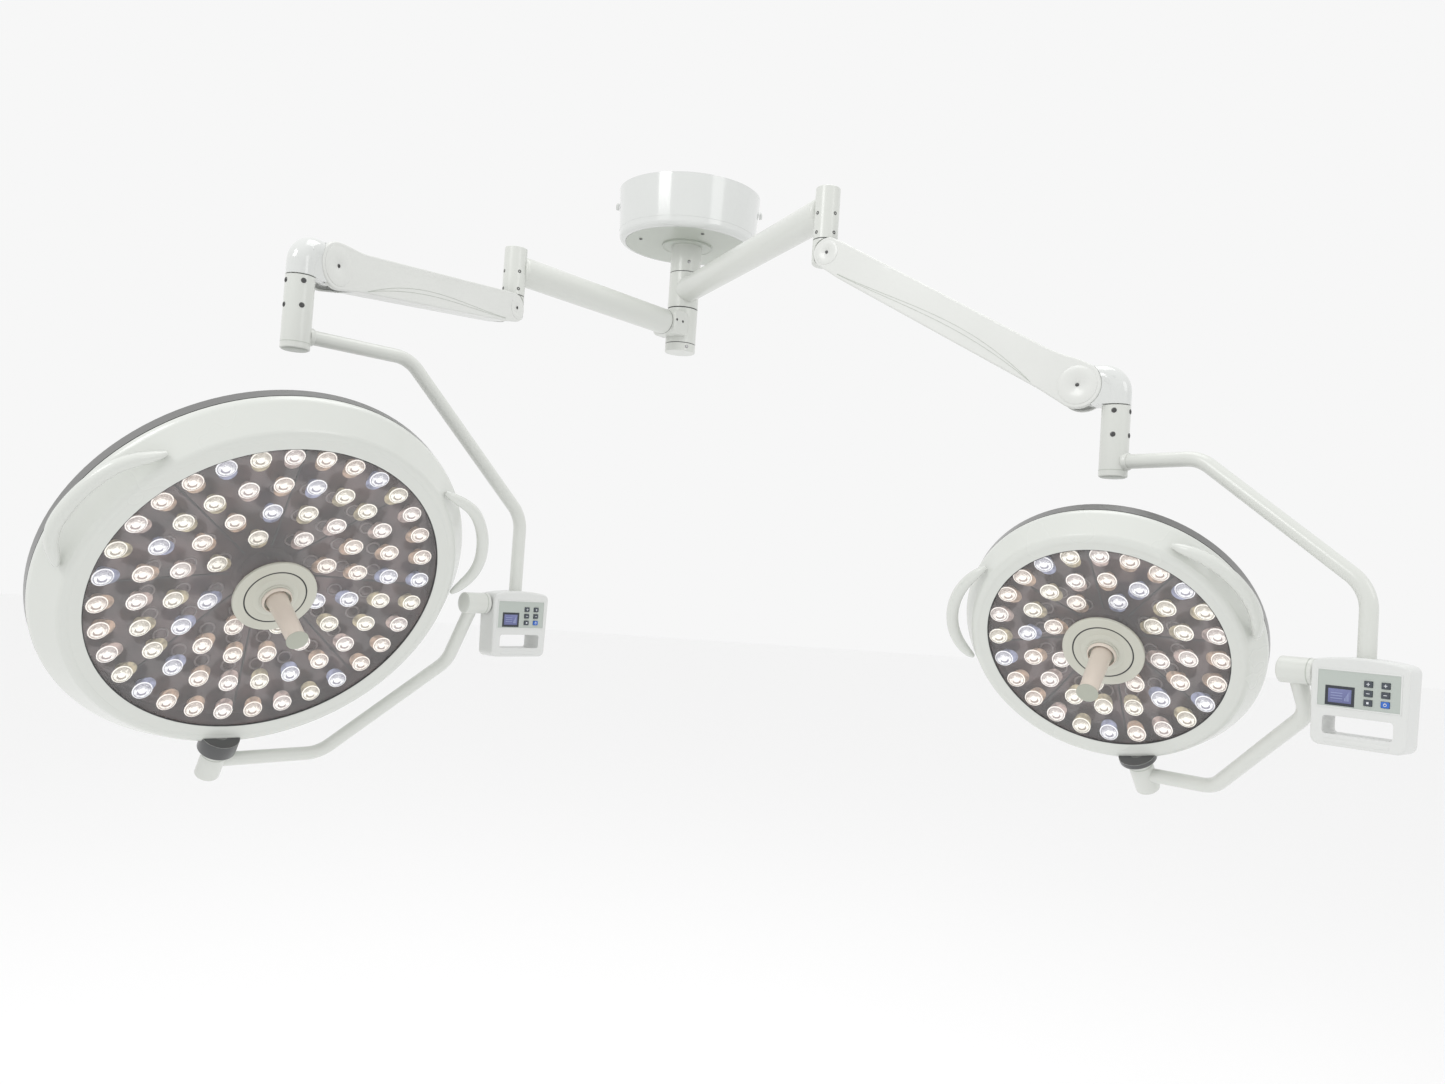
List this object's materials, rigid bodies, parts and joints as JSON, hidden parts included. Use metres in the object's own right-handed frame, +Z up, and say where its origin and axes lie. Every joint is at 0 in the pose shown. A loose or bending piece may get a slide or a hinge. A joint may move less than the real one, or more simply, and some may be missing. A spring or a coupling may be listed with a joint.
{
  "type": "surgical light",
  "caption": "Ceiling-mounted surgical light: a spindle carries two jointed sprung arms, each with a yoke, a control box and a round multi-lens lamp head.",
  "frame": {"origin": "centre of the anchor plate's ceiling face, on the spindle axis", "axes": "+Z up out of the ceiling face, -Y towards the viewer, +X to the viewer's right; the light hangs below the origin"},
  "size_m": [2.0283, 1.6009, 1.4303],
  "materials": {
    "steel": "satin",
    "white_paint": "semi-gloss",
    "white_gloss": "gloss",
    "dark_screws": "satin",
    "white_plastic": "satin",
    "panel_film": "matte",
    "grey_metal": "satin",
    "clear_lens": "clear",
    "dark_plate": "gloss",
    "led_optic": "clear",
    "beige_plastic": "satin",
    "handle_plastic": "satin",
    "key_plastic": "matte"
  },
  "bodies": {
    "mount": {"ceiling_plate": "steel", "flange_bolts": "steel", "spindle_column": "white_paint", "canopy": "white_gloss", "canopy_disc": "white_paint", "canopy_screws": "dark_screws", "power_supply": "steel", "spindle_end_cap": "white_paint"},
    "large_arm": {"large_spindle_arm": "white_paint"},
    "large_knuckle": {"large_pivot_block": "white_paint"},
    "large_sprung_arm": {"large_arm_frame": "steel", "large_balance_spring": "steel", "large_arm_cover_left": "white_plastic", "large_arm_cover_right": "white_plastic"},
    "large_elbow_joint": {"large_elbow": "white_paint"},
    "large_yoke": {"large_drop_tube": "white_paint", "large_upper_yoke": "white_paint", "large_control_box": "white_plastic", "large_control_panel": "panel_film"},
    "large_cradle": {"large_lower_yoke": "white_paint"},
    "large_dome": {"large_back_cover": "grey_metal", "large_ring_cover": "white_gloss", "large_side_grips": "white_gloss", "large_front_lens": "clear_lens", "large_base_plate": "dark_plate", "large_led_lenses": "led_optic", "large_handle_socket": "beige_plastic"},
    "large_handle": {"large_sterile_handle": "handle_plastic"},
    "large_button_1": {"large_key_1": "key_plastic"},
    "large_button_2": {"large_key_2": "key_plastic"},
    "large_button_3": {"large_key_3": "key_plastic"},
    "large_button_4": {"large_key_4": "key_plastic"},
    "large_button_5": {"large_key_5": "key_plastic"},
    "large_button_6": {"large_key_6": "key_plastic"},
    "small_arm": {"small_spindle_arm": "white_paint"},
    "small_knuckle": {"small_pivot_block": "white_paint"},
    "small_sprung_arm": {"small_arm_frame": "steel", "small_balance_spring": "steel", "small_arm_cover_left": "white_plastic", "small_arm_cover_right": "white_plastic"},
    "small_elbow_joint": {"small_elbow": "white_paint"},
    "small_yoke": {"small_drop_tube": "white_paint", "small_upper_yoke": "white_paint", "small_control_box": "white_plastic", "small_control_panel": "panel_film"},
    "small_cradle": {"small_lower_yoke": "white_paint"},
    "small_dome": {"small_back_cover": "grey_metal", "small_ring_cover": "white_gloss", "small_side_grips": "white_gloss", "small_front_lens": "clear_lens", "small_base_plate": "dark_plate", "small_led_lenses": "led_optic", "small_handle_socket": "beige_plastic"},
    "small_handle": {"small_sterile_handle": "handle_plastic"},
    "small_button_1": {"small_key_1": "key_plastic"},
    "small_button_2": {"small_key_2": "key_plastic"},
    "small_button_3": {"small_key_3": "key_plastic"},
    "small_button_4": {"small_key_4": "key_plastic"},
    "small_button_5": {"small_key_5": "key_plastic"},
    "small_button_6": {"small_key_6": "key_plastic"}
  },
  "joints": [
    {"name": "large_arm_swing", "type": "hinge", "parent": "mount", "child": "large_arm", "pos_m": [0, 0, -0.3535], "axis": [0, 0, 1], "range_deg": [-120, 15]},
    {"name": "large_knuckle_swing", "type": "hinge", "parent": "large_arm", "child": "large_knuckle", "pos_m": [-0.35671, -0.46995, -0.3535], "axis": [0, 0, 1], "range_deg": [-110, 60]},
    {"name": "large_lift", "type": "hinge", "parent": "large_knuckle", "child": "large_sprung_arm", "pos_m": [-0.36293, -0.48685, -0.4465], "axis": [-0.9385, 0.3453, 0], "range_deg": [-42, 17]},
    {"name": "large_level", "type": "hinge", "parent": "large_sprung_arm", "child": "large_elbow_joint", "pos_m": [-0.56315, -1.03104, -0.52387], "axis": [-0.9385, 0.3453, 0], "range_deg": [-17, 42]},
    {"name": "large_yoke_turn", "type": "hinge", "parent": "large_elbow_joint", "child": "large_yoke", "pos_m": [-0.58456, -1.08923, -0.65587], "axis": [0, 0, 1], "range_deg": [-120, 60]},
    {"name": "large_tilt", "type": "hinge", "parent": "large_yoke", "child": "large_cradle", "pos_m": [-0.58456, -1.08923, -1.09187], "axis": [0.6858, 0.7278, 0], "range_deg": [-85, 55]},
    {"name": "large_dome_turn", "type": "hinge", "parent": "large_cradle", "child": "large_dome", "pos_m": [-0.58456, -1.08923, -1.09187], "axis": [0.3942, -0.3715, 0.8406], "range_deg": [-90, 90]},
    {"name": "large_handle_pull", "type": "slide", "parent": "large_dome", "child": "large_handle", "axis": [0.585, -0.604, -0.5413], "range_m": [0, 0.06]},
    {"name": "large_press_1", "type": "slide", "parent": "large_yoke", "child": "large_button_1", "axis": [-0.7278, 0.6858, 0], "range_m": [0, 0.0008], "stiffness_N_per_m": 600, "springref_m": -0.0012},
    {"name": "large_press_2", "type": "slide", "parent": "large_yoke", "child": "large_button_2", "axis": [-0.7278, 0.6858, 0], "range_m": [0, 0.0008], "stiffness_N_per_m": 600, "springref_m": -0.0012},
    {"name": "large_press_3", "type": "slide", "parent": "large_yoke", "child": "large_button_3", "axis": [-0.7278, 0.6858, 0], "range_m": [0, 0.0008], "stiffness_N_per_m": 600, "springref_m": -0.0012},
    {"name": "large_press_4", "type": "slide", "parent": "large_yoke", "child": "large_button_4", "axis": [-0.7278, 0.6858, 0], "range_m": [0, 0.0008], "stiffness_N_per_m": 600, "springref_m": -0.0012},
    {"name": "large_press_5", "type": "slide", "parent": "large_yoke", "child": "large_button_5", "axis": [-0.7278, 0.6858, 0], "range_m": [0, 0.0008], "stiffness_N_per_m": 600, "springref_m": -0.0012},
    {"name": "large_press_6", "type": "slide", "parent": "large_yoke", "child": "large_button_6", "axis": [-0.7278, 0.6858, 0], "range_m": [0, 0.0008], "stiffness_N_per_m": 600, "springref_m": -0.0012},
    {"name": "small_arm_swing", "type": "hinge", "parent": "mount", "child": "small_arm", "pos_m": [0, 0, -0.2585], "axis": [0, 0, 1], "range_deg": [-15, 120]},
    {"name": "small_knuckle_swing", "type": "hinge", "parent": "small_arm", "child": "small_knuckle", "pos_m": [0.31399, -0.70855, -0.2585], "axis": [0, 0, 1], "range_deg": [-60, 110]},
    {"name": "small_lift", "type": "hinge", "parent": "small_knuckle", "child": "small_sprung_arm", "pos_m": [0.32903, -0.71843, -0.3515], "axis": [-0.549, -0.8358, 0], "range_deg": [-20, 39]},
    {"name": "small_level", "type": "hinge", "parent": "small_sprung_arm", "child": "small_elbow_joint", "pos_m": [0.75459, -0.99797, -0.63957], "axis": [-0.549, -0.8358, 0], "range_deg": [-39, 20]},
    {"name": "small_yoke_turn", "type": "hinge", "parent": "small_elbow_joint", "child": "small_yoke", "pos_m": [0.80641, -1.03201, -0.77157], "axis": [0, 0, 1], "range_deg": [-60, 120]},
    {"name": "small_tilt", "type": "hinge", "parent": "small_yoke", "child": "small_cradle", "pos_m": [0.80641, -1.03201, -1.09407], "axis": [0.6374, -0.7705, 0], "range_deg": [-85, 55]},
    {"name": "small_dome_turn", "type": "hinge", "parent": "small_cradle", "child": "small_dome", "pos_m": [0.80641, -1.03201, -1.09407], "axis": [-0.443, -0.3665, 0.8181], "range_deg": [-90, 90]},
    {"name": "small_handle_pull", "type": "slide", "parent": "small_dome", "child": "small_handle", "axis": [-0.4358, -0.7095, -0.5538], "range_m": [0, 0.06]},
    {"name": "small_press_1", "type": "slide", "parent": "small_yoke", "child": "small_button_1", "axis": [0.7705, 0.6374, 0], "range_m": [0, 0.0008], "stiffness_N_per_m": 600, "springref_m": -0.0012},
    {"name": "small_press_2", "type": "slide", "parent": "small_yoke", "child": "small_button_2", "axis": [0.7705, 0.6374, 0], "range_m": [0, 0.0008], "stiffness_N_per_m": 600, "springref_m": -0.0012},
    {"name": "small_press_3", "type": "slide", "parent": "small_yoke", "child": "small_button_3", "axis": [0.7705, 0.6374, 0], "range_m": [0, 0.0008], "stiffness_N_per_m": 600, "springref_m": -0.0012},
    {"name": "small_press_4", "type": "slide", "parent": "small_yoke", "child": "small_button_4", "axis": [0.7705, 0.6374, 0], "range_m": [0, 0.0008], "stiffness_N_per_m": 600, "springref_m": -0.0012},
    {"name": "small_press_5", "type": "slide", "parent": "small_yoke", "child": "small_button_5", "axis": [0.7705, 0.6374, 0], "range_m": [0, 0.0008], "stiffness_N_per_m": 600, "springref_m": -0.0012},
    {"name": "small_press_6", "type": "slide", "parent": "small_yoke", "child": "small_button_6", "axis": [0.7705, 0.6374, 0], "range_m": [0, 0.0008], "stiffness_N_per_m": 600, "springref_m": -0.0012}
  ],
  "couplings": [
    {"joint": "large_level", "follows": "large_lift", "ratio": -1},
    {"joint": "small_level", "follows": "small_lift", "ratio": -1}
  ]
}
